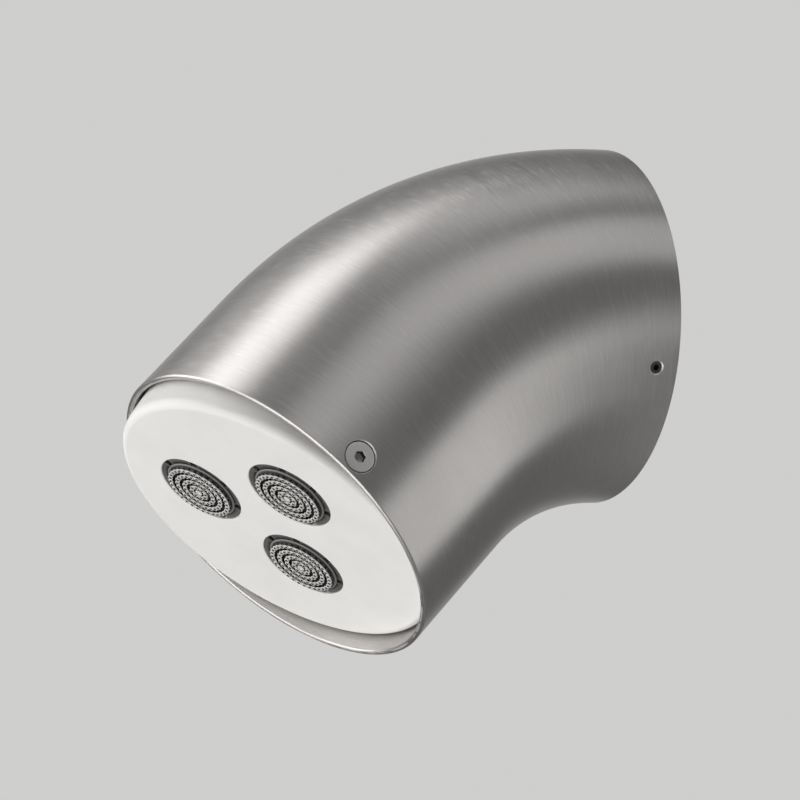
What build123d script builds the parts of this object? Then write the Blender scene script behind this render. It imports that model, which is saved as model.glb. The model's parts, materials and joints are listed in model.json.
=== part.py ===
from build123d import *
import os
from math import cos, radians, sin

# A wall-mounted shower head: a wide steel elbow whose mouth carries a round spray plate that tilts
# on two side screws. Millimetres. The origin is the elbow's centre on the wall, the wall is the XZ
# plane, the elbow leaves it towards -Y and bends down, and the tilt axis lies along X.

# Elbow tube
TUBE_DIAMETER = 88.9
TUBE_WALL = 1.5
BEND_RADIUS = 98.5
BEND_ANGLE = 44.0
MOUTH_RUN = 33.4
WALL_GAP = 0.4
RIM_CHAMFER = 0.3

# Wall flange, with the screws that hold it and the elbow
FLANGE_DEPTH = 9.0
FLANGE_WALL = 6.0
FLANGE_PLATE = 5.0
FLANGE_CLEARANCE = 0.5
WALL_HOLE_DIAMETER = 5.5
WALL_HOLE_CIRCLE_DIAMETER = 54.0
WALL_HOLE_TURN = 30.0
CLAMP_SCREWS = 3
SET_SCREW_DIAMETER = 3.0
SET_SCREW_KEY = 1.5
SET_SCREW_KEY_DEPTH = 1.4
SET_SCREW_FROM_WALL = 6.1
SET_SCREW_DEPTH = 2.5
SET_SCREW_SUNK = 0.3
SET_SCREW_TURN = -30.0
SCREW_CLEARANCE = 0.05
HOLE_CHAMFER = 0.3

# Inlet connector: a G 1/2 socket towards the wall, a hexagon and a hose tail
INLET_SOCKET_DIAMETER = 18.63
INLET_SOCKET_DEPTH = 11.0
INLET_BODY_DIAMETER = 26.0
INLET_BACK = 0.5
INLET_HEX = 30.0
INLET_HEX_LENGTH = 7.0
INLET_NOSE_DIAMETER = 21.5
INLET_NOSE_LENGTH = 3.0
INLET_WASHER_DIAMETER = 18.0
INLET_WASHER_THICKNESS = 2.0

# Supply hose and its ends
HOSE_DIAMETER = 10.0
HOSE_BORE = 7.0
HOSE_BEND = 50.0
TAIL_LENGTH = 12.0
TAIL_BORE = 4.6
FERRULE_WALL = 1.3
FERRULE_LENGTH = 10.5
HOSE_CLEARANCE = 0.05
HOSE_END_GAP = 0.3

# Spray plate, as it stands in the mouth
HEAD_CLEARANCE = 0.55
TILT = 8.0
PIVOT_DEPTH = 4.9
FACE_HEIGHT = 6.0
FACE_EDGE_RADIUS = 2.2
FRONT_WALL = 4.0
SIDE_DEPTH = 3.5
REAR_STEP = 2.7
REAR_DEPTH = 9.0
SIDE_WALL = 3.0

# Pivot screws and their threaded inserts
PIVOT_HOLE_DIAMETER = 7.7
PIVOT_CLEARANCE = 0.08
PIVOT_HEAD_SUNK = 0.15
PIVOT_HEAD_CHAMFER = 0.35
PIVOT_SEAT_DEPTH = 0.25
PIVOT_THREAD = 4.0
PIVOT_THREAD_LENGTH = 7.5
PIVOT_KEY = 2.5
PIVOT_KEY_DEPTH = 1.6
INSERT_DIAMETER = 6.6
INSERT_LENGTH = 9.0
INSERT_BOSS_WALL = 1.9
INSERT_FLOOR = 1.2

# Nozzles
NOZZLES = 3
NOZZLE_INSET = 19.1
NOZZLE_OFFSET = 2.6
NOZZLE_TURN = 3.5
NOZZLE_HOLE_DIAMETER = 21.8
NOZZLE_CLEARANCE = 0.1
NOZZLE_BOSS_WALL = 2.0
NOZZLE_DEPTH = 10.0
NOZZLE_RING_WIDTH = 1.45
NOZZLE_RING_SUNK = 0.4
NOZZLE_FLOOR = 1.5
NOZZLE_FLOOR_BORE = 14.0
NOZZLE_NOTCHES = 7
NOTCH_TURN = 38.5
NOTCH_WIDTH = 1.8
NOTCH_DEPTH = 1.4
NOZZLE_LIP = 1.5
NOZZLE_LIP_BORE = 17.6
NOZZLE_SEAL_THICKNESS = 1.0
CORE_EDGE = 0.2
CORE_LEDGE = 0.3

# Perforated nozzle face: ribs with rows of outlets, and grooves between the ribs
OUTLET_PROUD = 1.1
OUTLET_THICKNESS = 2.6
RIB_ROWS = 4
RIB_WIDTH = 1.2
GROOVE_WIDTH = 0.77
GROOVE_DEPTH = 0.8
OUTLETS_PER_ROW_STEP = 8
OUTLET_LENGTH = 0.6
OUTLET_WIDTH = 0.6

# Rear cover of the water chamber
GASKET_THICKNESS = 1.0
COVER_THICKNESS = 3.5
COVER_BOSS_DIAMETER = 20.0
COVER_BOSS_HEIGHT = 3.0
COVER_SCREWS = 4
COVER_SCREW_INSET = 3.2
COVER_SCREW_TURN = 45.0
COVER_SCREW_DIAMETER = 3.0
COVER_SCREW_LENGTH = 10.0
COVER_SCREW_HEAD = 5.5
COVER_SCREW_HEAD_HEIGHT = 1.8
COVER_SCREW_BOSS = 7.2
COVER_SCREW_PASSAGE = 3.4

# Hose nipple on the rear cover
NIPPLE_THREAD = 13.0
NIPPLE_REACH = 1.0
NIPPLE_SEAL_THICKNESS = 1.0
NIPPLE_HEX = 19.0
NIPPLE_HEX_LENGTH = 5.0

# Sizes that follow from the ones above
tube_radius = TUBE_DIAMETER / 2
bore_radius = tube_radius - TUBE_WALL
flange_radius = bore_radius - FLANGE_CLEARANCE
head_radius = bore_radius - HEAD_CLEARANCE
rear_radius = head_radius - REAR_STEP
chamber_radius = rear_radius - SIDE_WALL
cover_screw_radius = chamber_radius - COVER_SCREW_INSET
front_back = FACE_HEIGHT - FRONT_WALL
rear_rim = -REAR_DEPTH
nozzle_radius = NOZZLE_HOLE_DIAMETER / 2
ring_top = FACE_HEIGHT - NOZZLE_RING_SUNK
ring_base = FACE_HEIGHT - NOZZLE_DEPTH
lip_top = ring_base - NOZZLE_SEAL_THICKNESS
lip_base = lip_top - NOZZLE_LIP
core_radius = nozzle_radius - NOZZLE_CLEARANCE - NOZZLE_RING_WIDTH - NOZZLE_CLEARANCE
rib_spacing = RIB_WIDTH + GROOVE_WIDTH
outlet_radius = RIB_ROWS * rib_spacing + RIB_WIDTH / 2
outlet_top = FACE_HEIGHT + OUTLET_PROUD
outlet_base = outlet_top - OUTLET_THICKNESS
cover_front = rear_rim - GASKET_THICKNESS
cover_back = cover_front - COVER_THICKNESS
boss_back = cover_back - COVER_BOSS_HEIGHT
nipple_hex_front = boss_back - NIPPLE_SEAL_THICKNESS
nipple_hex_back = nipple_hex_front - NIPPLE_HEX_LENGTH
tail_radius = HOSE_BORE / 2 - HOSE_CLEARANCE
ferrule_bore = HOSE_DIAMETER / 2 + HOSE_CLEARANCE
pivot_head_top = tube_radius - PIVOT_HEAD_SUNK
pivot_seat = head_radius - PIVOT_SEAT_DEPTH
insert_end = pivot_seat - INSERT_LENGTH

# The elbow's planes, from the wall to the mouth, and the tilted plate's own planes
bend = radians(BEND_ANGLE)
facing = radians(BEND_ANGLE + TILT)
right = Vector(1, 0, 0)
outward = Vector(0, -1, 0)
mouth_way = Vector(0, -cos(bend), -sin(bend))
wall_end = Plane(origin=(0, -WALL_GAP, 0), x_dir=(0, 0, 1), z_dir=outward)
bend_axis = Axis((0, -WALL_GAP, -BEND_RADIUS), right)
bend_end = Plane(
    origin=(0, -WALL_GAP - BEND_RADIUS * sin(bend), BEND_RADIUS * (cos(bend) - 1)),
    x_dir=right,
    z_dir=mouth_way,
)
mouth = bend_end.offset(MOUTH_RUN)
pivot = mouth.offset(-PIVOT_DEPTH).origin
head = Plane(origin=pivot, x_dir=right, z_dir=(0, -cos(facing), -sin(facing)))
head_axis = Axis(pivot, head.z_dir)


def lathe_plane(origin, axis, radial):
    """A plane for turned outlines: X is the radius, Y runs along the turning axis."""
    return Plane(origin=origin, x_dir=radial, z_dir=radial.cross(axis))


def turn(plane, *points):
    """A solid turned about a lathe plane's Y axis, from its outline of (radius, height) points."""
    with BuildPart() as turned:
        with BuildSketch(plane):
            with BuildLine():
                Polyline(*points, close=True)
            make_face()
        revolve(axis=Axis(plane.origin, plane.y_dir))
    return turned.part


def keep(builder, name):
    """Labels a finished piece and writes it out."""
    builder.part.label = name
    export_step(builder.part, f"parts/{name}.step")


os.makedirs("parts", exist_ok=True)
wall_lathe = lathe_plane(Vector(0, 0, 0), outward, right)
head_lathe = lathe_plane(pivot, head.z_dir, right)

# Directions of the set screws round the elbow's wall end
set_screw_names = ("set_screw_right", "set_screw_top", "set_screw_left")
set_screw_step = 360 / CLAMP_SCREWS
set_screw_angles = [radians(SET_SCREW_TURN + set_screw_step * n) for n in range(CLAMP_SCREWS)]
set_screw_planes = [
    Plane(origin=(0, -SET_SCREW_FROM_WALL, 0), x_dir=outward, z_dir=(cos(a), 0, sin(a)))
    for a in set_screw_angles
]
set_screw_tip = flange_radius - SET_SCREW_DEPTH
set_screw_outer = tube_radius - SET_SCREW_SUNK
set_screw_radius = SET_SCREW_DIAMETER / 2

# The pivot screws' lathe planes, on the right and on the left
pivot_sides = {"right": lathe_plane(pivot, right, mouth_way), "left": lathe_plane(pivot, -right, mouth_way)}
pivot_hole = PIVOT_HOLE_DIAMETER / 2

# Elbow: the bend is turned about its own axis, and the mouth's straight run follows it
with BuildPart() as elbow_tube:
    with BuildSketch(wall_end):
        Circle(tube_radius)
        Circle(bore_radius, mode=Mode.SUBTRACT)
    revolve(axis=bend_axis, revolution_arc=BEND_ANGLE)
    for plane in set_screw_planes:
        with BuildSketch(plane.offset(set_screw_tip)):
            Circle(set_screw_radius + SCREW_CLEARANCE)
        extrude(amount=FLANGE_WALL, mode=Mode.SUBTRACT)
    with BuildSketch(bend_end):
        Circle(tube_radius)
        Circle(bore_radius, mode=Mode.SUBTRACT)
    extrude(amount=MOUTH_RUN)
    for plane in pivot_sides.values():
        add(
            turn(
                plane,
                (0, head_radius),
                (pivot_hole, head_radius),
                (pivot_hole, tube_radius - HOLE_CHAMFER),
                (pivot_hole + HOLE_CHAMFER * 2, tube_radius + HOLE_CHAMFER),
                (0, tube_radius + HOLE_CHAMFER),
            ),
            mode=Mode.SUBTRACT,
        )
    chamfer(elbow_tube.faces().sort_by(Axis(pivot, mouth_way))[-1].edges(), length=RIM_CHAMFER)
keep(elbow_tube, "elbow_tube")

# Wall flange: a plate on the wall with a rim inside the tube's end
inlet_body = INLET_BODY_DIAMETER / 2
with BuildPart() as wall_flange:
    add(
        turn(
            wall_lathe,
            (inlet_body, 0),
            (flange_radius, 0),
            (flange_radius, FLANGE_DEPTH),
            (flange_radius - FLANGE_WALL, FLANGE_DEPTH),
            (flange_radius - FLANGE_WALL, FLANGE_PLATE),
            (inlet_body, FLANGE_PLATE),
        )
    )
    with BuildSketch(Plane.XZ):
        with PolarLocations(WALL_HOLE_CIRCLE_DIAMETER / 2, CLAMP_SCREWS, start_angle=WALL_HOLE_TURN):
            Circle(WALL_HOLE_DIAMETER / 2)
    extrude(amount=FLANGE_PLATE, mode=Mode.SUBTRACT)
    for plane in set_screw_planes:
        with BuildSketch(plane.offset(set_screw_tip)):
            Circle(set_screw_radius + SCREW_CLEARANCE)
        extrude(amount=FLANGE_WALL, mode=Mode.SUBTRACT)
keep(wall_flange, "wall_flange")

# Set screws: dog points in the flange's holes, with a hexagon key socket in the outer end
for name, plane in zip(set_screw_names, set_screw_planes):
    with BuildPart() as set_screw:
        with BuildSketch(plane.offset(set_screw_tip)):
            Circle(set_screw_radius)
        extrude(amount=set_screw_outer - set_screw_tip)
        with BuildSketch(plane.offset(set_screw_outer)):
            RegularPolygon(SET_SCREW_KEY / 2, 6, major_radius=False)
        extrude(amount=-SET_SCREW_KEY_DEPTH, mode=Mode.SUBTRACT)
    keep(set_screw, name)

# Inlet connector: screwed into the flange, its hexagon on the plate, its tail in the hose
inlet_socket = INLET_SOCKET_DIAMETER / 2
socket_end = INLET_BACK + INLET_SOCKET_DEPTH
washer_end = socket_end + INLET_WASHER_THICKNESS
hex_end = FLANGE_PLATE + INLET_HEX_LENGTH
nose_end = hex_end + INLET_NOSE_LENGTH
with BuildPart() as inlet_connector:
    add(
        turn(
            wall_lathe,
            (0, INLET_BACK),
            (inlet_body - SCREW_CLEARANCE, INLET_BACK),
            (inlet_body - SCREW_CLEARANCE, FLANGE_PLATE),
            (INLET_NOSE_DIAMETER / 2, FLANGE_PLATE),
            (INLET_NOSE_DIAMETER / 2, nose_end),
            (tail_radius, nose_end),
            (tail_radius, nose_end + TAIL_LENGTH),
            (0, nose_end + TAIL_LENGTH),
        )
    )
    with BuildSketch(Plane.XZ.offset(FLANGE_PLATE)):
        RegularPolygon(INLET_HEX / 2, 6, major_radius=False)
    extrude(amount=INLET_HEX_LENGTH)
    add(
        turn(
            wall_lathe,
            (0, INLET_BACK),
            (inlet_socket, INLET_BACK),
            (inlet_socket, socket_end),
            (INLET_WASHER_DIAMETER / 2, socket_end),
            (INLET_WASHER_DIAMETER / 2, washer_end),
            (TAIL_BORE / 2, washer_end),
            (TAIL_BORE / 2, nose_end + TAIL_LENGTH),
            (0, nose_end + TAIL_LENGTH),
        ),
        mode=Mode.SUBTRACT,
    )
keep(inlet_connector, "inlet_connector")

# Washer at the bottom of the inlet socket
with BuildPart() as inlet_washer:
    with BuildSketch(Plane.XZ.offset(socket_end)):
        Circle(INLET_WASHER_DIAMETER / 2 - SCREW_CLEARANCE)
        Circle(HOSE_BORE / 2, mode=Mode.SUBTRACT)
    extrude(amount=INLET_WASHER_THICKNESS)
keep(inlet_washer, "inlet_washer")

# Hose route: straight off the inlet tail, one bend, straight onto the nipple of the tilted plate
hose_start = nose_end + HOSE_END_GAP
hose_finish = nipple_hex_back - HOSE_END_GAP
corner_reach = pivot.Z / head.z_dir.Z
corner_from_wall = -(pivot - head.z_dir * corner_reach).Y
bend_tangent = HOSE_BEND * sin(facing / 2) / cos(facing / 2)
hose_bend_start = corner_from_wall - bend_tangent
hose_bend_end = bend_tangent - corner_reach
with BuildPart() as supply_hose:
    with BuildSketch(Plane.XZ.offset(hose_start)):
        Circle(HOSE_DIAMETER / 2)
        Circle(HOSE_BORE / 2, mode=Mode.SUBTRACT)
    extrude(amount=hose_bend_start - hose_start)
    with BuildSketch(Plane.XZ.offset(hose_bend_start)):
        Circle(HOSE_DIAMETER / 2)
        Circle(HOSE_BORE / 2, mode=Mode.SUBTRACT)
    revolve(
        axis=Axis((0, -hose_bend_start, -HOSE_BEND), right),
        revolution_arc=BEND_ANGLE + TILT,
    )
    with BuildSketch(head.offset(hose_bend_end)):
        Circle(HOSE_DIAMETER / 2)
        Circle(HOSE_BORE / 2, mode=Mode.SUBTRACT)
    extrude(amount=hose_finish - hose_bend_end)
keep(supply_hose, "supply_hose")
print("hose bend radius", HOSE_BEND, "straight runs", hose_bend_start - hose_start, hose_finish - hose_bend_end)

# Ferrules crimped on the hose's two ends
with BuildPart() as hose_ferrule_inlet:
    with BuildSketch(Plane.XZ.offset(hose_start)):
        Circle(ferrule_bore + FERRULE_WALL)
        Circle(ferrule_bore, mode=Mode.SUBTRACT)
    extrude(amount=FERRULE_LENGTH)
keep(hose_ferrule_inlet, "hose_ferrule_inlet")

with BuildPart() as hose_ferrule_head:
    with BuildSketch(head.offset(hose_finish)):
        Circle(ferrule_bore + FERRULE_WALL)
        Circle(ferrule_bore, mode=Mode.SUBTRACT)
    extrude(amount=-FERRULE_LENGTH)
keep(hose_ferrule_head, "hose_ferrule_head")

# Places of the nozzles and of the cover screws on the head's plane
nozzle_step = 360 / NOZZLES
nozzle_places = [
    head.from_local_coords(
        Vector(chamber_radius - NOZZLE_INSET, 0, 0).rotate(Axis.Z, NOZZLE_TURN + nozzle_step * n)
        + Vector(0, NOZZLE_OFFSET, 0)
    )
    for n in range(NOZZLES)
]
nozzle_planes = [Plane(origin=place, x_dir=right, z_dir=head.z_dir) for place in nozzle_places]
nozzle_lathes = [lathe_plane(place, head.z_dir, right) for place in nozzle_places]

# Spray plate: a shallow cup with a rounded face edge, bosses for nozzles, screws and pivots
with BuildPart() as spray_plate:
    add(
        turn(
            head_lathe,
            (0, FACE_HEIGHT),
            (head_radius, FACE_HEIGHT),
            (head_radius, -SIDE_DEPTH),
            (rear_radius, -SIDE_DEPTH - REAR_STEP),
            (rear_radius, rear_rim),
            (chamber_radius, rear_rim),
            (chamber_radius, front_back),
            (0, front_back),
        )
    )
    fillet(spray_plate.edges().group_by(head_axis)[-1], radius=FACE_EDGE_RADIUS)
    for plane in nozzle_planes:
        with BuildSketch(plane.offset(lip_base)):
            Circle(nozzle_radius + NOZZLE_BOSS_WALL)
        extrude(amount=front_back - lip_base)
    with BuildSketch(head.offset(rear_rim)):
        with PolarLocations(cover_screw_radius, COVER_SCREWS, start_angle=COVER_SCREW_TURN):
            Circle(COVER_SCREW_BOSS / 2)
    extrude(amount=front_back - rear_rim)
    for plane in pivot_sides.values():
        with BuildSketch(Plane(origin=pivot, z_dir=plane.y_dir).offset(insert_end - INSERT_FLOOR)):
            Circle(INSERT_DIAMETER / 2 + INSERT_BOSS_WALL)
        extrude(amount=chamber_radius + SIDE_WALL / 2 - insert_end + INSERT_FLOOR)
    for plane in nozzle_planes:
        with BuildSketch(plane.offset(FACE_HEIGHT)):
            Circle(nozzle_radius)
        extrude(amount=lip_top - FACE_HEIGHT, mode=Mode.SUBTRACT)
        with BuildSketch(plane.offset(lip_top)):
            Circle(NOZZLE_LIP_BORE / 2)
        extrude(amount=-NOZZLE_LIP, mode=Mode.SUBTRACT)
    for plane in pivot_sides.values():
        side = Plane(origin=pivot, z_dir=plane.y_dir)
        with BuildSketch(side.offset(insert_end)):
            Circle(INSERT_DIAMETER / 2)
        extrude(amount=INSERT_LENGTH, mode=Mode.SUBTRACT)
        with BuildSketch(side.offset(pivot_seat)):
            Circle(pivot_hole)
        extrude(amount=HEAD_CLEARANCE, mode=Mode.SUBTRACT)
    with BuildSketch(head.offset(rear_rim)):
        with PolarLocations(cover_screw_radius, COVER_SCREWS, start_angle=COVER_SCREW_TURN):
            Circle(COVER_SCREW_DIAMETER / 2 + SCREW_CLEARANCE)
    extrude(amount=COVER_SCREW_LENGTH - COVER_THICKNESS, mode=Mode.SUBTRACT)
    mouths = spray_plate.edges().group_by(head_axis)[-1].filter_by(
        lambda edge: abs(edge.radius - nozzle_radius) < NOZZLE_CLEARANCE
    )
    chamfer(mouths, length=HOLE_CHAMFER)
keep(spray_plate, "spray_plate")

# Pivot screws: the flat head turns in the tube's hole, the thread holds in the plate's insert
for side_name, plane in pivot_sides.items():
    side = Plane(origin=pivot, z_dir=plane.y_dir, x_dir=head.z_dir)
    head_edge = pivot_hole - PIVOT_CLEARANCE
    with BuildPart() as pivot_screw:
        add(
            turn(
                plane,
                (0, pivot_seat - PIVOT_THREAD_LENGTH),
                (PIVOT_THREAD / 2, pivot_seat - PIVOT_THREAD_LENGTH),
                (PIVOT_THREAD / 2, pivot_seat),
                (head_edge, pivot_seat),
                (head_edge, pivot_head_top - PIVOT_HEAD_CHAMFER),
                (head_edge - PIVOT_HEAD_CHAMFER, pivot_head_top),
                (0, pivot_head_top),
            )
        )
        with BuildSketch(side.offset(pivot_head_top)):
            RegularPolygon(PIVOT_KEY / 2, 6, major_radius=False)
        extrude(amount=-PIVOT_KEY_DEPTH, mode=Mode.SUBTRACT)
    keep(pivot_screw, f"pivot_screw_{side_name}")

    with BuildPart() as pivot_insert:
        with BuildSketch(side.offset(insert_end)):
            Circle(INSERT_DIAMETER / 2 - SCREW_CLEARANCE)
            Circle(PIVOT_THREAD / 2 + SCREW_CLEARANCE, mode=Mode.SUBTRACT)
        extrude(amount=INSERT_LENGTH)
    keep(pivot_insert, f"pivot_insert_{side_name}")

# Nozzles: castellated housing, sleeve flush with the face, proud perforated insert and rear washer
housing_radius = nozzle_radius - NOZZLE_CLEARANCE
housing_bore = housing_radius - NOZZLE_RING_WIDTH
ledge_bore = outlet_radius - CORE_LEDGE
for number, (plane, lathe) in enumerate(zip(nozzle_planes, nozzle_lathes), start=1):
    with BuildPart() as nozzle_housing:
        add(
            turn(
                lathe,
                (NOZZLE_FLOOR_BORE / 2, ring_base),
                (housing_radius, ring_base),
                (housing_radius, ring_top),
                (housing_bore, ring_top),
                (housing_bore, ring_base + NOZZLE_FLOOR),
                (NOZZLE_FLOOR_BORE / 2, ring_base + NOZZLE_FLOOR),
            )
        )
        with BuildSketch(plane.offset(ring_top)):
            with PolarLocations((housing_radius + housing_bore) / 2, NOZZLE_NOTCHES, start_angle=NOTCH_TURN):
                Rectangle(NOZZLE_RING_WIDTH * 2, NOTCH_WIDTH)
        extrude(amount=-NOTCH_DEPTH, mode=Mode.SUBTRACT)
    keep(nozzle_housing, f"nozzle_housing_{number}")

    with BuildPart() as nozzle_core:
        add(
            turn(
                lathe,
                (ledge_bore, ring_base + NOZZLE_FLOOR),
                (core_radius, ring_base + NOZZLE_FLOOR),
                (core_radius, FACE_HEIGHT - CORE_EDGE),
                (core_radius - CORE_EDGE, FACE_HEIGHT),
                (outlet_radius + SCREW_CLEARANCE, FACE_HEIGHT),
                (outlet_radius + SCREW_CLEARANCE, outlet_base),
                (ledge_bore, outlet_base),
            )
        )
    keep(nozzle_core, f"nozzle_core_{number}")

    with BuildPart() as nozzle_face:
        with BuildSketch(plane.offset(outlet_base)):
            Circle(outlet_radius)
        extrude(amount=OUTLET_THICKNESS)
        with BuildSketch(plane.offset(outlet_top)):
            for row in reversed(range(RIB_ROWS)):
                Circle((row + 1) * rib_spacing - RIB_WIDTH / 2)
                Circle(row * rib_spacing + RIB_WIDTH / 2, mode=Mode.SUBTRACT)
        extrude(amount=-GROOVE_DEPTH, mode=Mode.SUBTRACT)
        with BuildSketch(plane.offset(outlet_top)):
            for row in range(1, RIB_ROWS + 1):
                with PolarLocations(row * rib_spacing, row * OUTLETS_PER_ROW_STEP):
                    Rectangle(OUTLET_LENGTH, OUTLET_WIDTH)
        extrude(amount=-OUTLET_THICKNESS, mode=Mode.SUBTRACT)
    keep(nozzle_face, f"nozzle_face_{number}")

    with BuildPart() as nozzle_seal:
        with BuildSketch(plane.offset(lip_top)):
            Circle(housing_radius)
            Circle(NOZZLE_LIP_BORE / 2, mode=Mode.SUBTRACT)
        extrude(amount=NOZZLE_SEAL_THICKNESS)
    keep(nozzle_seal, f"nozzle_seal_{number}")

# Gasket on the plate's rear rim, with an ear round each screw
with BuildPart() as cover_gasket:
    with BuildSketch(head.offset(cover_front)):
        Circle(rear_radius)
        Circle(chamber_radius, mode=Mode.SUBTRACT)
        with PolarLocations(cover_screw_radius, COVER_SCREWS, start_angle=COVER_SCREW_TURN):
            Circle(COVER_SCREW_BOSS / 2)
            Circle(COVER_SCREW_PASSAGE / 2, mode=Mode.SUBTRACT)
    extrude(amount=GASKET_THICKNESS)
keep(cover_gasket, "cover_gasket")

# Rear cover, with a boss for the hose nipple
with BuildPart() as rear_cover:
    with BuildSketch(head.offset(cover_back)):
        Circle(rear_radius)
    extrude(amount=COVER_THICKNESS)
    with BuildSketch(head.offset(boss_back)):
        Circle(COVER_BOSS_DIAMETER / 2)
    extrude(amount=COVER_BOSS_HEIGHT)
    with BuildSketch(head.offset(boss_back)):
        Circle(NIPPLE_THREAD / 2)
    extrude(amount=COVER_BOSS_HEIGHT + COVER_THICKNESS, mode=Mode.SUBTRACT)
    with BuildSketch(head.offset(cover_back)):
        with PolarLocations(cover_screw_radius, COVER_SCREWS, start_angle=COVER_SCREW_TURN):
            Circle(COVER_SCREW_PASSAGE / 2)
    extrude(amount=COVER_THICKNESS, mode=Mode.SUBTRACT)
keep(rear_cover, "rear_cover")

# Screws that hold the cover
with BuildPart() as cover_screws:
    with BuildSketch(head.offset(cover_back)):
        with PolarLocations(cover_screw_radius, COVER_SCREWS, start_angle=COVER_SCREW_TURN):
            Circle(COVER_SCREW_HEAD / 2)
    extrude(amount=-COVER_SCREW_HEAD_HEIGHT)
    with BuildSketch(head.offset(cover_back)):
        with PolarLocations(cover_screw_radius, COVER_SCREWS, start_angle=COVER_SCREW_TURN):
            Circle(COVER_SCREW_DIAMETER / 2)
    extrude(amount=COVER_SCREW_LENGTH)
keep(cover_screws, "cover_screws")

# Hose nipple and its washer
with BuildPart() as head_nipple:
    add(
        turn(
            head_lathe,
            (TAIL_BORE / 2, cover_front + NIPPLE_REACH),
            (NIPPLE_THREAD / 2 - SCREW_CLEARANCE, cover_front + NIPPLE_REACH),
            (NIPPLE_THREAD / 2 - SCREW_CLEARANCE, nipple_hex_front),
            (tail_radius, nipple_hex_front),
            (tail_radius, nipple_hex_back - TAIL_LENGTH),
            (TAIL_BORE / 2, nipple_hex_back - TAIL_LENGTH),
        )
    )
    with BuildSketch(head.offset(nipple_hex_back)):
        RegularPolygon(NIPPLE_HEX / 2, 6, major_radius=False)
        Circle(TAIL_BORE / 2, mode=Mode.SUBTRACT)
    extrude(amount=NIPPLE_HEX_LENGTH)
keep(head_nipple, "head_nipple")

with BuildPart() as nipple_seal:
    with BuildSketch(head.offset(nipple_hex_front)):
        Circle(NIPPLE_HEX / 2)
        Circle(NIPPLE_THREAD / 2, mode=Mode.SUBTRACT)
    extrude(amount=NIPPLE_SEAL_THICKNESS)
keep(nipple_seal, "nipple_seal")
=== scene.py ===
import bpy
import bmesh
import json
import math
from mathutils import Matrix, Vector


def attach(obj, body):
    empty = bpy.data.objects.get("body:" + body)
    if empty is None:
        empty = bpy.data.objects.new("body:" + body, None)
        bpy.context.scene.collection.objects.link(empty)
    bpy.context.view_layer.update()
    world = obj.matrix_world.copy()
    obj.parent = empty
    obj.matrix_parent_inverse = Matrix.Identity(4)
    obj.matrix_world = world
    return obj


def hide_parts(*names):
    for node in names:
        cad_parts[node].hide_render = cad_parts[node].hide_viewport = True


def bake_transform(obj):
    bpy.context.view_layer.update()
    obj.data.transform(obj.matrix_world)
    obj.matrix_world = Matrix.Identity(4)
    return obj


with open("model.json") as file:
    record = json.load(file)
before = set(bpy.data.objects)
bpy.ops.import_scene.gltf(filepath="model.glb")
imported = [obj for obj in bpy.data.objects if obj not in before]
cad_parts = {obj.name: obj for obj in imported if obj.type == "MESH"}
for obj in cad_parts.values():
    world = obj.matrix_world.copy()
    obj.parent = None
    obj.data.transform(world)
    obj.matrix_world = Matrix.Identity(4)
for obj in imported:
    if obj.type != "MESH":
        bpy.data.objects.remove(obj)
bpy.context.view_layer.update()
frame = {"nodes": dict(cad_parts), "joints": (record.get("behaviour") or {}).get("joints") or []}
nodes = frame["nodes"]

# Sizes shared with the construction, in metres and radians
TUBE_R = 0.04445
BORE_R = 0.04295
BEND_R = 0.0985
BEND = math.radians(44.0)
MOUTH_RUN = 0.0334
WALL_GAP = 0.0004
EDGE = 0.0003
PIVOT_HOLE_R = 0.00385
SET_HOLE_R = 0.00155
SET_FROM_WALL = 0.0061
SET_ANGLES = [math.radians(degrees) for degrees in (-30, 90, 210)]
FACING = math.radians(52.0)
FACE_H = 0.006
NOZZLES = (1, 2, 3)
NOZZLE_CIRCLE_R = 0.0176
NOZZLE_OFFSET = 0.0026
NOZZLE_TURN = math.radians(3.5)
OUTLET_R = 0.00848
OUTLET_H = 0.0071
OUTLET_BASE = 0.0045
OUTLET_ROWS = 4
OUTLET_STEP = 0.00197
OUTLETS_PER_ROW_STEP = 8
GROOVE_DEPTH = 0.0008
SCREW_SUNK = 0.00015
SCREW_HEAD_H = 0.00215
SCREW_EDGE = 0.00035
SCREW_THREAD_R = 0.002
SCREW_THREAD_H = 0.0075
KEY_R = 0.00125
KEY_DEPTH = 0.0016
KEY_SIDES = 6

# Finer sizes that only the scene has, in metres
PIVOT_CUT_DEPTH = 0.002
SET_CUT_DEPTH = 0.003
SCREW_R = 0.00366
KEY_SINK = 0.00016
BEVEL = 0.0001
EYELET_R = 0.00068
OUTLET_BORE_R = 0.00039
OUTLET_FLOOR_RISE = 0.00003
RIB_HALF = 0.00048
RIB_SUNK = 0.00016
HUB_R = 0.00092
INSERT_RIM = 0.0002
INSERT_RIM_SUNK = 0.0003
# Where the painted highlight round the top edge of the nozzle cores starts and becomes full, below the face
PAINTED_HIGHLIGHT_START = 0.00024
PAINTED_HIGHLIGHT_FULL = 0.00012

# Fineness of the meshes, with tolerances in metres
TUBE_STEPS = 110
TUBE_FACETS = 288
PIVOT_FACETS = 96
SET_HOLE_FACETS = 40
SINK_FACETS = 48
INSERT_FACETS = 128
HUB_FACETS = 32
RIB_FACETS_PER_ROW = 48
EYELET_FACETS = 16
FLOOR_FACETS = 96
ON_WALL = 2e-5
JOIN_DISTANCE = 1e-7

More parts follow.
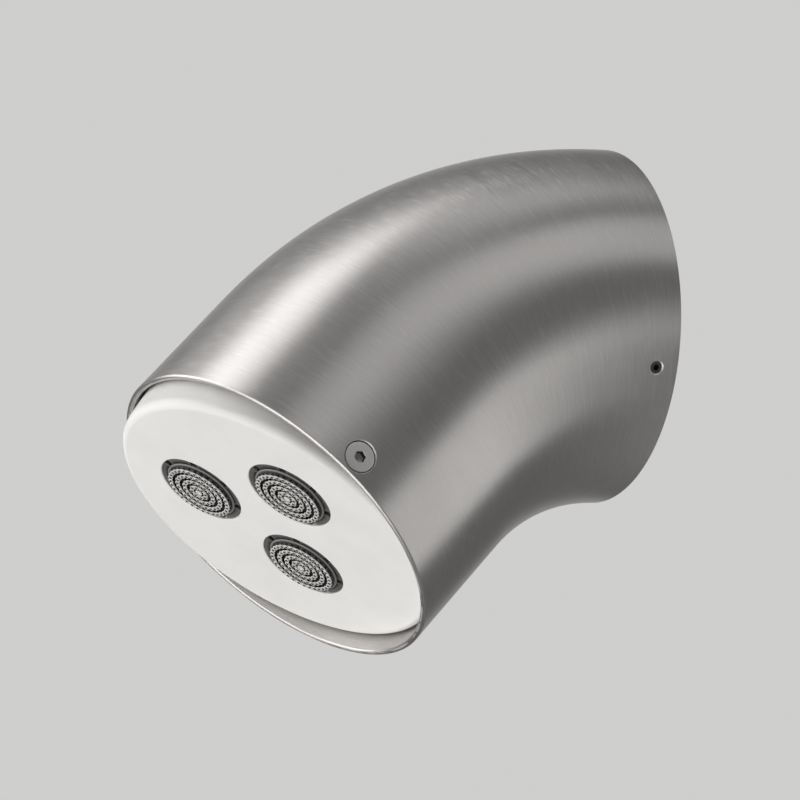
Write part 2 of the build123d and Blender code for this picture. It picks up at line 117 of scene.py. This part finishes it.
# Directions and places worked out from the sizes
RIGHT = Vector((1, 0, 0))
SIDES = {"right": RIGHT, "left": -RIGHT}
TO_WALL = Vector((0, 1, 0))
FROM_WALL = Vector((0, -1, 0))
PIVOT = Vector(frame["joints"][0]["pos_m"])
MOUTH_WAY = Vector((0, -math.cos(BEND), -math.sin(BEND)))
MOUTH_OUT = Vector((0, -math.sin(BEND), math.cos(BEND)))
BEND_END = Vector((0, -WALL_GAP - BEND_R * math.sin(BEND), BEND_R * (math.cos(BEND) - 1)))
HEAD_N = Vector((0, -math.cos(FACING), -math.sin(FACING)))
HEAD_V = Vector((0, -math.sin(FACING), math.cos(FACING)))
BEND_LENGTH = BEND_R * BEND
TUBE_LENGTH = BEND_LENGTH + MOUTH_RUN
FULL_TURN = 2 * math.pi


# Shader nodes

# The part of its range that a noise mostly keeps to
MIDDLE = (0.3, 0.7)


def material(name):
    """A new material, its node tree and its principled shader."""
    mat = bpy.data.materials.new(name)
    mat.use_nodes = True
    tree = mat.node_tree
    return mat, tree, tree.nodes["Principled BSDF"]


def node(tree, kind, inputs=(), **settings):
    """A shader node, with settings as attributes and inputs as (socket, value or output) pairs."""
    made = tree.nodes.new(kind)
    for key, value in settings.items():
        setattr(made, key, value)
    for socket, value in inputs:
        if isinstance(value, bpy.types.NodeSocket):
            tree.links.new(value, made.inputs[socket])
        else:
            made.inputs[socket].default_value = value
    return made


def feed(tree, shader, outputs):
    """Links outputs to the shader's sockets, by the sockets' names."""
    for socket, output in outputs.items():
        tree.links.new(output, shader.inputs[socket])


def place(tree):
    """The place of a point on its object."""
    return node(tree, "ShaderNodeTexCoord").outputs["Object"]


def noise(tree, vector, scale=1.0, detail=3.0, rough=0.55):
    """A noise value at a place."""
    inputs = (("Vector", vector), ("Scale", scale), ("Detail", detail), ("Roughness", rough))
    return node(tree, "ShaderNodeTexNoise", inputs).outputs["Fac"]


def span(tree, value, low, high, source=(0.0, 1.0), smooth=False):
    """A value mapped from a source range to the range from low to high."""
    ends = (("From Min", source[0]), ("From Max", source[1]), ("To Min", low), ("To Max", high))
    kind = "SMOOTHSTEP" if smooth else "LINEAR"
    made = node(tree, "ShaderNodeMapRange", (("Value", value), *ends), interpolation_type=kind)
    return made.outputs["Result"]


def mixed(tree, factor, first, second):
    """A colour between two, by a factor."""
    inputs = (("Factor", factor), ("A", first), ("B", second))
    return node(tree, "ShaderNodeMix", inputs, data_type="RGBA").outputs["Result"]


def tint(tree, factor, dark, light):
    """A colour between two fixed ones, by a factor."""
    return mixed(tree, factor, (*dark, 1), (*light, 1))


def mottle(tree, value, dark, light, source=MIDDLE):
    """A colour between two fixed ones, by a noise."""
    return tint(tree, span(tree, value, 0.0, 1.0, source), dark, light)


def calc(tree, operation, first, second):
    """A number worked out from two."""
    return node(tree, "ShaderNodeMath", ((0, first), (1, second)), operation=operation).outputs["Value"]


def vector_calc(tree, operation, first, second):
    """A vector worked out from two."""
    pair = ((0, first), (1, second))
    return node(tree, "ShaderNodeVectorMath", pair, operation=operation).outputs["Vector"]


def reach(tree, vector, direction):
    """How far a vector reaches along a direction."""
    pair = ((0, vector), (1, tuple(direction)))
    return node(tree, "ShaderNodeVectorMath", pair, operation="DOT_PRODUCT").outputs["Value"]


def head_height(tree):
    """Height of a point above the tilt axis, along the plate's own axis."""
    return reach(tree, vector_calc(tree, "SUBTRACT", place(tree), tuple(PIVOT)), HEAD_N)


def bump(tree, shader, height, distance):
    """Fine relief on the shader."""
    inputs = (("Height", height), ("Distance", distance), ("Strength", 1.0))
    feed(tree, shader, {"Normal": node(tree, "ShaderNodeBump", inputs).outputs["Normal"]})


# Materials

def brushed_tube():
    """Stainless steel with short brush lines round the tube, so that highlights run along it."""
    fine_share, coarse_share, scratch_rough = 0.6, 0.4, 0.04
    mat, tree, shader = material("steel_tube_brushed")
    run = node(tree, "ShaderNodeAttribute", attribute_name="unbent").outputs["Vector"]

    def brush(scale, detail, rough):
        """Noise drawn out round the tube: scale is twice across it, then along it."""
        return noise(tree, vector_calc(tree, "MULTIPLY", run, scale), detail=detail, rough=rough)

    fine = calc(tree, "MULTIPLY", brush((90, 90, 9000), detail=2.0, rough=0.6), fine_share)
    coarse = calc(tree, "MULTIPLY", brush((45, 45, 2200), detail=3.0, rough=0.6), coarse_share)
    cloud = brush((14, 14, 60), detail=2.0, rough=0.5)
    streaks = brush((240, 240, 3800), detail=1.0, rough=0.4)
    scratch = span(tree, streaks, 0.0, 1.0, source=(0.52, 0.72), smooth=True)
    lines = calc(tree, "ADD", fine, coarse)
    plain = mottle(tree, lines, (0.555, 0.535, 0.52), (0.65, 0.63, 0.615))
    bright = tint(tree, lines, (0.635, 0.615, 0.60), (0.70, 0.68, 0.665))
    rough = calc(tree, "ADD", span(tree, lines, 0.32, 0.40, MIDDLE), span(tree, cloud, -0.015, 0.02))
    tangent = node(tree, "ShaderNodeTangent", direction_type="UV_MAP", uv_map="tube")
    feed(tree, shader, {
        "Base Color": mixed(tree, scratch, plain, bright),
        "Roughness": calc(tree, "ADD", rough, calc(tree, "MULTIPLY", scratch, scratch_rough)),
        "Tangent": tangent.outputs["Tangent"],
    })
    shader.inputs["Metallic"].default_value = 1.0
    shader.inputs["Anisotropic"].default_value = 0.75
    bump(tree, shader, lines, distance=0.000012)
    return mat


def grained(name, dark, light, rough, cloud_scale, fine_scale, fine_detail, spread, grain):
    """A mottled material with a fine grain and a roughness that varies by spread, and its shader."""
    mat, tree, shader = material(name)
    where = place(tree)
    cloud = noise(tree, where, cloud_scale, detail=4.0)
    fine = noise(tree, where, fine_scale, fine_detail)
    feed(tree, shader, {
        "Base Color": mottle(tree, cloud, dark, light),
        "Roughness": span(tree, fine, rough * spread[0], rough * spread[1], MIDDLE),
    })
    bump(tree, shader, fine, grain)
    return mat, shader


def metal(name, dark, light, rough, scale=900.0, grain=0.00001):
    """Plain turned or polished metal, with fine scratches and a little staining."""
    mat, shader = grained(
        name, dark, light, rough, cloud_scale=scale * 0.12, fine_scale=scale * 3, fine_detail=2.0,
        spread=(0.8, 1.25), grain=grain,
    )
    shader.inputs["Metallic"].default_value = 1.0
    return mat


def plastic(name, dark, light, rough, scale=500.0, grain=0.00001, specular=0.5):
    """Moulded plastic or rubber, with slight mottling and a fine moulded grain."""
    mat, shader = grained(
        name, dark, light, rough, cloud_scale=scale * 0.15, fine_scale=scale * 4, fine_detail=3.0,
        spread=(0.85, 1.15), grain=grain,
    )
    shader.inputs["Specular IOR Level"].default_value = specular
    return mat


def collar_plastic():
    """Dark plastic with a painted highlight: a paler band round its top edge."""
    mat, tree, shader = material("plastic_dark_collar")
    fine = noise(tree, place(tree), scale=3200.0)
    painted_highlight_span = (FACE_H - PAINTED_HIGHLIGHT_START, FACE_H - PAINTED_HIGHLIGHT_FULL)
    # Painted highlight: the top edge is paler, where the edge catches the light
    edge = span(tree, head_height(tree), 0.0, 1.0, painted_highlight_span, smooth=True)
    deep = mottle(tree, fine, (0.045, 0.043, 0.042), (0.085, 0.082, 0.08))
    painted_highlight = mottle(tree, fine, (0.16, 0.155, 0.15), (0.26, 0.25, 0.245))
    feed(tree, shader, {
        "Base Color": mixed(tree, edge, deep, painted_highlight),
        "Roughness": span(tree, fine, 0.32, 0.5, MIDDLE),
    })
    bump(tree, shader, fine, distance=0.00001)
    return mat


def fluted_plastic():
    """Dark plastic with fine flutes that run along the plate's axis."""
    mat, tree, shader = material("plastic_outlet_wall")
    where = place(tree)
    inputs = ((0, tuple(HEAD_N)), ("Scale", reach(tree, where, HEAD_N)))
    rise = node(tree, "ShaderNodeVectorMath", inputs, operation="SCALE").outputs["Vector"]
    flutes = noise(tree, vector_calc(tree, "SUBTRACT", where, rise), scale=2400.0, detail=2.0)
    feed(tree, shader, {
        "Base Color": mottle(tree, flutes, (0.03, 0.029, 0.028), (0.15, 0.146, 0.142), (0.35, 0.65)),
        "Roughness": span(tree, flutes, 0.55, 0.4, MIDDLE),
    })
    shader.inputs["Specular IOR Level"].default_value = 0.3
    bump(tree, shader, flutes, distance=0.00005)
    return mat


steel_tube = brushed_tube()
white = plastic("plastic_white_satin", (0.77, 0.76, 0.74), (0.82, 0.81, 0.79), rough=0.44, specular=0.4)
dark = plastic("plastic_dark_grey", (0.075, 0.073, 0.07), (0.115, 0.112, 0.108), rough=0.4, scale=900.0)
collar = collar_plastic()
outlet_pale = plastic(
    "silicone_outlet_pale", (0.58, 0.565, 0.545), (0.70, 0.685, 0.665), rough=0.45, scale=1800.0,
)
# Near-black painted shade for the grooves between the outlet rings and the bores and floors of the outlets
outlet_painted_shade = plastic(
    "plastic_outlet_painted_shade", (0.008, 0.008, 0.008), (0.02, 0.019, 0.019), rough=0.6, scale=4200.0,
    specular=0.12,
)
outlet_wall = fluted_plastic()
grey = plastic("plastic_grey_moulded", (0.50, 0.50, 0.49), (0.58, 0.58, 0.57), rough=0.5)
rubber = plastic("rubber_black", (0.02, 0.02, 0.02), (0.045, 0.045, 0.045), rough=0.65, specular=0.3)
hose_rubber = plastic("rubber_hose", (0.06, 0.06, 0.065), (0.12, 0.12, 0.13), rough=0.55, specular=0.35)
satin = metal(
    "steel_satin", (0.78, 0.77, 0.755), (0.84, 0.83, 0.815), rough=0.56, scale=600.0, grain=0.000004,
)
# Dark steel: the set screws' own dark steel together with the shade deep in their holes, and painted shade
# on the walls of the screw holes and key sockets
dark_steel_and_shade = metal("steel_dark_and_painted_shade", (0.13, 0.127, 0.123), (0.21, 0.205, 0.20), rough=0.45, scale=600.0)
screw_steel = metal("steel_screw", (0.45, 0.44, 0.42), (0.60, 0.59, 0.57), rough=0.3)
turned = metal("aluminium_turned", (0.62, 0.62, 0.61), (0.74, 0.74, 0.73), rough=0.35)
brass = metal("brass_turned", (0.62, 0.47, 0.22), (0.76, 0.61, 0.33), rough=0.3)


# Looks of the pieces that keep the construction's shape

def paint(obj, mat):
    """Gives an object one material in place of what it has."""
    obj.data.materials.clear()
    obj.data.materials.append(mat)


look = {
    "wall_flange": turned,
    "inlet_connector": brass,
    "inlet_washer": rubber,
    "hose_ferrule_inlet": screw_steel,
    "hose_ferrule_head": screw_steel,
    "head_nipple": brass,
    "nipple_seal": rubber,
    "rear_cover": grey,
    "cover_gasket": rubber,
    "cover_screws": screw_steel,
    "spray_plate": white,
    "supply_hose": hose_rubber,
}
for side in SIDES:
    look[f"pivot_insert_{side}"] = brass
# The set screws are dark: blackened steel, with the shade deep in their holes painted in as well
for side in ("right", "top", "left"):
    look[f"set_screw_{side}"] = dark_steel_and_shade
for number in NOZZLES:
    look[f"nozzle_housing_{number}"] = dark
    look[f"nozzle_core_{number}"] = collar
    look[f"nozzle_seal_{number}"] = rubber
for name, mat in look.items():
    paint(nodes[name], mat)


# Mesh helpers

# A zero normal, which leaves a corner's own as it is
OWN_NORMAL = (0.0, 0.0, 0.0)


def object_from(name, data):
    """A new object in the scene, from a mesh, a lamp or a camera."""
    made = bpy.data.objects.new(name, data)
    bpy.context.scene.collection.objects.link(made)
    return made


def mesh_object(name, bm):
    """An object from a finished bmesh, its faces turned outwards."""
    bmesh.ops.recalc_face_normals(bm, faces=bm.faces)
    mesh = bpy.data.meshes.new(name)
    bm.to_mesh(mesh)
    bm.free()
    return object_from(name, mesh)


def dress(obj, *mats):
    """Gives a new mesh its material slots."""
    for mat in mats:
        obj.data.materials.append(mat)


def soften(mesh, sharp_degrees):
    """Smooth shading, apart from edges where faces meet at more than an angle."""
    mesh.shade_smooth()
    mesh.set_sharp_from_angle(angle=math.radians(sharp_degrees))


def circle(count):
    """Angles spaced evenly round a circle."""
    return [FULL_TURN * k / count for k in range(count)]


def turn_into(bm, origin, axis, side, profile, facets, slots=None):
    """Adds a turned surface: profile is a list of (radius, height), slots the material of each span."""
    other = axis.cross(side)
    rings = []
    for radius, height in profile:
        centre = origin + axis * height
        if radius == 0:
            rings.append([bm.verts.new(centre)])
        else:
            rings.append([
                bm.verts.new(centre + (side * math.cos(a) + other * math.sin(a)) * radius)
                for a in circle(facets)
            ])
    for k, (low, high) in enumerate(zip(rings, rings[1:])):
        for j in range(facets):
            i = (j + 1) % facets
            corners = []
            for ring, index in ((low, j), (low, i), (high, i), (high, j)):
                corner = ring[index % len(ring)]
                if corner not in corners:
                    corners.append(corner)
            bm.faces.new(corners).material_index = slots[k] if slots else 0


def turned_solid(name, origin, axis, side, profile, facets, slots=None):
    """A closed turned solid: profile is a list of (radius, height), its first and last on the axis."""
    bm = bmesh.new()
    turn_into(bm, origin, axis, side, profile, facets, slots)
    return mesh_object(name, bm)


def bake(obj):
    """Puts what the modifiers make into the object's own mesh."""
    bpy.context.view_layer.update()
    result = bpy.data.meshes.new_from_object(obj.evaluated_get(bpy.context.evaluated_depsgraph_get()))
    obj.modifiers.clear()
    obj.data = result


def cut(obj, cutters):
    """Takes the cutters out of a mesh, and deletes them."""
    for cutter in cutters:
        step = obj.modifiers.new("cut", "BOOLEAN")
        step.operation = "DIFFERENCE"
        step.solver = "EXACT"
        step.object = cutter
    bake(obj)
    for cutter in cutters:
        bpy.data.objects.remove(cutter)


# Elbow: a fine shell with rounded rim edges and the screw holes

def tube_frame(run):
    """Centre and outer-bend direction of the tube at a distance along its centre line."""
    if run < BEND_LENGTH:
        turn = run / BEND_R
        centre = Vector((0, -WALL_GAP - BEND_R * math.sin(turn), BEND_R * (math.cos(turn) - 1)))
    else:
        turn = BEND
        centre = BEND_END + MOUTH_WAY * (run - BEND_LENGTH)
    return centre, Vector((0, -math.sin(turn), math.cos(turn)))


def tube_place(point):
    """Straightened place of a point: outer-bend offset, side offset and distance along the tube."""
    away, height = -(point.y + WALL_GAP), point.z + BEND_R
    turn = math.atan2(away, height)
    if turn <= BEND:
        return math.hypot(away, height) - BEND_R, point.x, turn * BEND_R
    local = point - BEND_END
    return local.dot(MOUTH_OUT), point.x, BEND_LENGTH + local.dot(MOUTH_WAY)


def rounded_corner(run, radius, way):
    """A softened chamfer from the tube's wall to its end face: way is 1 outside and -1 inside."""
    # Shares of the edge's size, back from the end face and in from the tube's side
    steps = ((1.25, 0), (0.78, 0.22), (0.22, 0.78), (0, 1.25))
    return [(run - EDGE * back, radius - way * EDGE * deep) for back, deep in steps]


def tube_profile():
    """The tube's wall as a loop of (distance along, radius)."""
    stops = [(TUBE_LENGTH - EDGE) * k / TUBE_STEPS for k in range(TUBE_STEPS)]
    outside = [(run, TUBE_R) for run in stops] + rounded_corner(TUBE_LENGTH, TUBE_R, 1)
    inside = [(run, BORE_R) for run in stops] + rounded_corner(TUBE_LENGTH, BORE_R, -1)
    return outside + inside[::-1]


def swept_ring(name, profile, facets):
    """A closed shell that follows the tube: profile is a loop of (distance along, radius)."""
    bm = bmesh.new()
    rings = []
    for run, radius in profile:
        centre, out = tube_frame(run)
        rings.append([
            bm.verts.new(centre + (out * math.cos(a) + RIGHT * math.sin(a)) * radius)
            for a in circle(facets)
        ])
    for k, ring in enumerate(rings):
        ahead = rings[(k + 1) % len(rings)]
        for j in range(facets):
            i = (j + 1) % facets
            bm.faces.new((ring[j], ahead[j], ahead[i], ring[i]))
    return mesh_object(name, bm)


def hole_cutters():
    """Tools for the pivot and set screw holes, with countersunk edges and the elbow's material slots."""
    # The wall slot paints the holes' walls dark, as painted shade inside the holes
    steel, lip, wall = 0, 1, 2
    under, over = TUBE_R - EDGE, TUBE_R + EDGE
    cutters = []
    base = BORE_R - PIVOT_CUT_DEPTH
    profile = [
        (0, base), (PIVOT_HOLE_R, base), (PIVOT_HOLE_R, under), (PIVOT_HOLE_R + EDGE * 2, over), (0, over),
    ]
    slots = [steel, wall, lip, steel]
    for side, way in SIDES.items():
        tool = turned_solid(f"cut_pivot_{side}", PIVOT, way, MOUTH_WAY, profile, PIVOT_FACETS, slots)
        cutters.append(tool)
    base = BORE_R - SET_CUT_DEPTH
    lip_r = SET_HOLE_R + EDGE
    profile = [
        (0, base), (SET_HOLE_R, base), (SET_HOLE_R, under), (lip_r, TUBE_R), (lip_r, over), (0, over),
    ]
    slots = [steel, wall, lip, lip, steel]
    origin = Vector((0, -SET_FROM_WALL, 0))
    for k, angle in enumerate(SET_ANGLES):
        way = Vector((math.cos(angle), 0, math.sin(angle)))
        tool = turned_solid(f"cut_set_{k}", origin, way, FROM_WALL, profile, SET_HOLE_FACETS, slots)
        cutters.append(tool)
    return cutters


def mark_places(mesh, places):
    """Stores the straightened places for the brush lines, and a map that runs along and round the tube."""
    unbent = mesh.attributes.new("unbent", "FLOAT_VECTOR", "POINT")
    unbent.data.foreach_set("vector", [c for p in places for c in p])
    uv = mesh.uv_layers.new(name="tube")
    angles = [math.atan2(side, out) for out, side, run in places]
    for face in mesh.polygons:
        first = angles[face.vertices[0]]
        for loop in face.loop_indices:
            v = mesh.loops[loop].vertex_index
            # Whole turns are added so that no face spans the map's seam
            angle = angles[v] + FULL_TURN * round((first - angles[v]) / FULL_TURN)
            uv.data[loop].uv = (places[v][2] / TUBE_LENGTH, angle / FULL_TURN)


def true_normals(mesh, places):
    """Makes the outer and inner walls shade as true curves, and leaves other corners as they are."""
    rim_start = TUBE_LENGTH - EDGE / 2
    normals = [OWN_NORMAL] * len(mesh.loops)
    for face in mesh.polygons:
        corners = [places[v] for v in face.vertices]
        if max(run for out, side, run in corners) >= rim_start:
            continue
        radii = [math.hypot(out, side) for out, side, run in corners]
        for wall, sign in ((TUBE_R, 1), (BORE_R, -1)):
            if any(abs(radius - wall) >= ON_WALL for radius in radii):
                continue
            for loop in face.loop_indices:
                v = mesh.loops[loop].vertex_index
                centre, out = tube_frame(places[v][2])
                normals[loop] = (mesh.vertices[v].co - centre).normalized() * sign
    mesh.normals_split_custom_set(normals)


def elbow_shell():
    """The elbow with its screw holes, which stands for its CAD node."""
    obj = swept_ring("elbow_shell", tube_profile(), TUBE_FACETS)
    dress(obj, steel_tube, satin, dark_steel_and_shade)
    cut(obj, hole_cutters())
    places = [tube_place(v.co) for v in obj.data.vertices]
    mark_places(obj.data, places)
    soften(obj.data, sharp_degrees=30)
    true_normals(obj.data, places)
    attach(obj, "elbow")
    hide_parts("elbow_tube")


elbow_shell()


# Plate and nozzle rings: the construction's shape, with smooth shading

def smooth_copy(name, body):
    """A copy of a CAD node with joined vertices and smooth curved faces, which stands for it."""
    mesh = nodes[name].data.copy()
    bm = bmesh.new()
    bm.from_mesh(mesh)
    bmesh.ops.remove_doubles(bm, verts=bm.verts, dist=JOIN_DISTANCE)
    bm.to_mesh(mesh)
    bm.free()
    made = object_from(f"{name}_dressed", mesh)
    if mesh.has_custom_normals:
        mesh.normals_split_custom_set([OWN_NORMAL] * len(mesh.loops))
    soften(mesh, sharp_degrees=30)
    step = made.modifiers.new("even", "WEIGHTED_NORMAL")
    step.weight = 100
    step.keep_sharp = True
    bake(made)
    # A piece given no body, such as the hose between two bodies, rides on neither
    if body:
        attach(made, body)
    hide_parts(name)
    return made


smooth_copy("spray_plate", "spray_head")
for number in NOZZLES:
    for part in ("housing", "core"):
        smooth_copy(f"nozzle_{part}_{number}", "spray_head")


# Nozzle inserts: a dark plug with rings of pale outlets on its top, and near-black painted shade in its
# grooves and outlet bores

def outlet_face(number):
    """One nozzle's insert, with an eyelet round every outlet, which stands for its CAD node."""
    # The deep slot is near-black painted shade on the groove floors, the sides of the ribs and the hub, and
    # the outlets' bores and floors
    pale, deep, wall = 0, 1, 2
    turn = NOZZLE_TURN + FULL_TURN / len(NOZZLES) * (number - 1)
    across = NOZZLE_CIRCLE_R * math.cos(turn)
    up = NOZZLE_CIRCLE_R * math.sin(turn) + NOZZLE_OFFSET
    spot = PIVOT + RIGHT * across + HEAD_V * up
    ground = OUTLET_H - GROOVE_DEPTH
    rim_top = OUTLET_H - INSERT_RIM_SUNK
    rim_inside = OUTLET_R - INSERT_RIM
    rib_top = OUTLET_H - RIB_SUNK
    bevelled = OUTLET_H - BEVEL
    outlet_floor = rib_top + OUTLET_FLOOR_RISE
    bm = bmesh.new()
    plug = [
        (0, OUTLET_BASE), (OUTLET_R, OUTLET_BASE), (OUTLET_R, rim_top), (rim_inside, rim_top),
        (rim_inside, ground), (0, ground),
    ]
    turn_into(bm, spot, HEAD_N, RIGHT, plug, INSERT_FACETS, [deep, wall, wall, deep, deep])
    hub = [
        (0, bevelled), (OUTLET_BORE_R, bevelled), (OUTLET_BORE_R + BEVEL, OUTLET_H),
        (HUB_R - BEVEL, OUTLET_H), (HUB_R, bevelled), (HUB_R, ground),
    ]
    turn_into(bm, spot, HEAD_N, RIGHT, hub, HUB_FACETS, [pale, pale, pale, pale, deep])
    # Each outlet has a shallow floor painted near-black, as painted shade of a deep bore
    eyelet = [
        (EYELET_R, ground), (EYELET_R, OUTLET_H - BEVEL * 2), (EYELET_R - BEVEL, OUTLET_H),
        (OUTLET_BORE_R, OUTLET_H), (OUTLET_BORE_R, outlet_floor), (0, outlet_floor),
    ]
    for row in range(1, OUTLET_ROWS + 1):
        radius = row * OUTLET_STEP
        inner, outer = radius - RIB_HALF, radius + RIB_HALF
        rib = [
            (inner, ground), (inner, rib_top - BEVEL), (inner + BEVEL, rib_top),
            (outer - BEVEL, rib_top), (outer, rib_top - BEVEL), (outer, ground),
        ]
        turn_into(bm, spot, HEAD_N, RIGHT, rib, RIB_FACETS_PER_ROW * row, [deep, pale, pale, pale, deep])
        for a in circle(row * OUTLETS_PER_ROW_STEP):
            centre = spot + (RIGHT * math.cos(a) + HEAD_V * math.sin(a)) * radius
            turn_into(bm, centre, HEAD_N, RIGHT, eyelet, EYELET_FACETS, [deep, pale, pale, deep, deep])
    made = mesh_object(f"nozzle_face_{number}_dressed", bm)
    dress(made, outlet_pale, outlet_painted_shade, outlet_wall)
    soften(made.data, sharp_degrees=35)
    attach(made, "spray_head")
    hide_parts(f"nozzle_face_{number}")


for number in NOZZLES:
    outlet_face(number)


# Pivot screws: flat heads with a softened edge and a countersunk key socket

def quarter_round(radius, top, size, steps=4):
    """Points of a rounded edge as (radius, height), from the side up to the top."""
    angles = [FULL_TURN / 4 * k / steps for k in range(steps + 1)]
    return [(radius - size * (1 - math.cos(a)), top - size * (1 - math.sin(a))) for a in angles]


def pivot_screw(side, way):
    """One pivot screw, which stands for its CAD node."""
    metal_slot, painted_shade_slot = 0, 1
    top = TUBE_R - SCREW_SUNK
    seat = top - SCREW_HEAD_H
    end = seat - SCREW_THREAD_H
    shank = [(0, end), (SCREW_THREAD_R, end), (SCREW_THREAD_R, seat), (SCREW_R, seat)]
    profile = [*shank, *quarter_round(SCREW_R, top, SCREW_EDGE), (0, top)]
    obj = turned_solid(f"pivot_screw_{side}_dressed", PIVOT, way, TO_WALL, profile, PIVOT_FACETS)
    dress(obj, satin, dark_steel_and_shade)
    corner = KEY_R / math.cos(math.pi / KEY_SIDES)
    key_end = top - KEY_DEPTH
    drill_tip = key_end - KEY_R / 2
    socket = [(0, drill_tip), (corner, key_end), (corner, top + KEY_R), (0, top + KEY_R)]
    low, high = top - KEY_SINK, top + KEY_SINK
    sink = [(0, low), (corner - KEY_SINK, low), (corner + KEY_SINK, high), (0, high)]
    # The key socket's walls are painted dark, as painted shade; its floor keeps the head's metal
    key_slots = [metal_slot, painted_shade_slot, painted_shade_slot]
    cut(obj, [
        turned_solid(f"cut_key_{side}", PIVOT, way, TO_WALL, socket, KEY_SIDES, key_slots),
        turned_solid(f"cut_sink_{side}", PIVOT, way, TO_WALL, sink, SINK_FACETS),
    ])
    soften(obj.data, sharp_degrees=28)
    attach(obj, "spray_head")
    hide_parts(f"pivot_screw_{side}")


for side, way in SIDES.items():
    pivot_screw(side, way)


# Hose: it runs between the fixed inlet and the tilting plate, and rides on neither body

hose = smooth_copy("supply_hose", None)
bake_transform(hose)


# Stage: pale floor, soft lights and a dim surround with a pale backdrop

FLOOR_R = 8.0
FLOOR_Z = -2.10
LAMP_TARGET = Vector((0, -0.06, -0.02))
BACKDROP_WAY = (-0.87, 0.42, 0.257)
BACKDROP_FADE = (0.86, 0.975)


def floor():
    """A wide round floor, as far below as under a shower head in use."""
    mesh = bpy.data.meshes.new("floor")
    bm = bmesh.new()
    bmesh.ops.create_circle(bm, cap_ends=True, segments=FLOOR_FACETS, radius=FLOOR_R)
    bm.to_mesh(mesh)
    bm.free()
    made = object_from("floor", mesh)
    made.location = (0, 0, FLOOR_Z)
    paint(made, plastic(
        "floor_pale", (0.70, 0.70, 0.69), (0.74, 0.74, 0.73), rough=0.8, scale=4.0, grain=0.0, specular=0.2,
    ))


def softbox(name, towards, along, distance, size, radiance):
    """A flat lamp that faces the object from a direction, its length along a given line."""
    data = bpy.data.lights.new(name, "AREA")
    data.shape = "RECTANGLE"
    width, length = size
    data.size, data.size_y = width, length
    data.energy = radiance * math.pi * width * length
    lamp = object_from(name, data)
    way = Vector(towards).normalized()
    line = Vector(along)
    line = (line - way * line.dot(way)).normalized()
    turn = Matrix((line.cross(way), line, way)).transposed()
    lamp.matrix_world = Matrix.Translation(LAMP_TARGET + way * distance) @ turn.to_4x4()
    lamp.visible_camera = False


def surround():
    """A dim grey world, with a pale backdrop that fades out round the direction behind the object."""
    world = bpy.data.worlds.new("surround")
    bpy.context.scene.world = world
    world.use_nodes = True
    tree = world.node_tree
    direction = node(tree, "ShaderNodeTexCoord").outputs["Generated"]
    backdrop = span(tree, reach(tree, direction, BACKDROP_WAY), 0.0, 1.0, BACKDROP_FADE, smooth=True)
    shade = tint(tree, backdrop, (0.155, 0.155, 0.155), (0.62, 0.62, 0.615))
    tree.links.new(shade, tree.nodes["Background"].inputs["Color"])


floor()
softbox("key_overhead", (0.0, -0.40, 0.91), (0.46, 0.88, 0), distance=0.9, size=(0.36, 0.6), radiance=2.15)
softbox("key_tail", (0.27, 0.17, 0.95), (0.33, 0.94, 0), distance=0.9, size=(0.30, 0.42), radiance=0.6)
softbox("edge_front", (-0.30, -0.82, 0.49), (1, 0, 0), distance=1.1, size=(1.1, 0.9), radiance=1.75)
softbox("face_front", (-0.20, -0.97, -0.06), (0, 0, 1), distance=1.2, size=(2.1, 0.8), radiance=1.15)
softbox("face_below", (-0.05, -0.72, -0.69), (0, 0, 1), distance=1.1, size=(1.4, 1.0), radiance=2.1)
softbox("fill_right", (0.75, 0.22, 0.61), (-0.25, 0.97, 0), distance=1.0, size=(0.50, 0.9), radiance=0.6)
softbox(
    "wall_side", (0.375, 0.905, -0.195), (0.913, -0.247, 0.325),
    distance=1.0, size=(0.35, 0.85), radiance=1.38,
)
surround()


# Camera, at the photograph's angle

AZIMUTH = math.radians(64.12)
ELEVATION = math.radians(-14.88)
ROLL = math.radians(-5.54)
LOOK_AT = Vector((0, -0.060 - WALL_GAP, -0.020))
SHIFT_RIGHT = 0.00363
SHIFT_UP = -0.00078
DISTANCE = 0.86269
FOCAL_PIXELS = 3544.56
IMAGE_PIXELS = 800
SENSOR_MM = 36.0
NEAR_CLIP = 0.01


def photo_camera():
    """A camera at an angle and distance from the object, turned by a roll about its own axis."""
    flat = math.cos(ELEVATION)
    back = Vector((math.sin(AZIMUTH) * flat, -math.cos(AZIMUTH) * flat, math.sin(ELEVATION)))
    level = Vector((math.cos(AZIMUTH), math.sin(AZIMUTH), 0))
    above = back.cross(level)
    view_right = level * math.cos(ROLL) + above * math.sin(ROLL)
    view_up = above * math.cos(ROLL) - level * math.sin(ROLL)
    target = LOOK_AT + view_right * SHIFT_RIGHT + view_up * SHIFT_UP
    lens = bpy.data.cameras.new("camera")
    lens.sensor_width = SENSOR_MM
    lens.lens = FOCAL_PIXELS / IMAGE_PIXELS * SENSOR_MM
    lens.clip_start = NEAR_CLIP
    camera = object_from("camera", lens)
    turn = Matrix((view_right, view_up, back)).transposed()
    camera.matrix_world = Matrix.Translation(target + back * DISTANCE) @ turn.to_4x4()
    bpy.context.scene.camera = camera


photo_camera()
bpy.context.scene.view_settings.view_transform = "Standard"
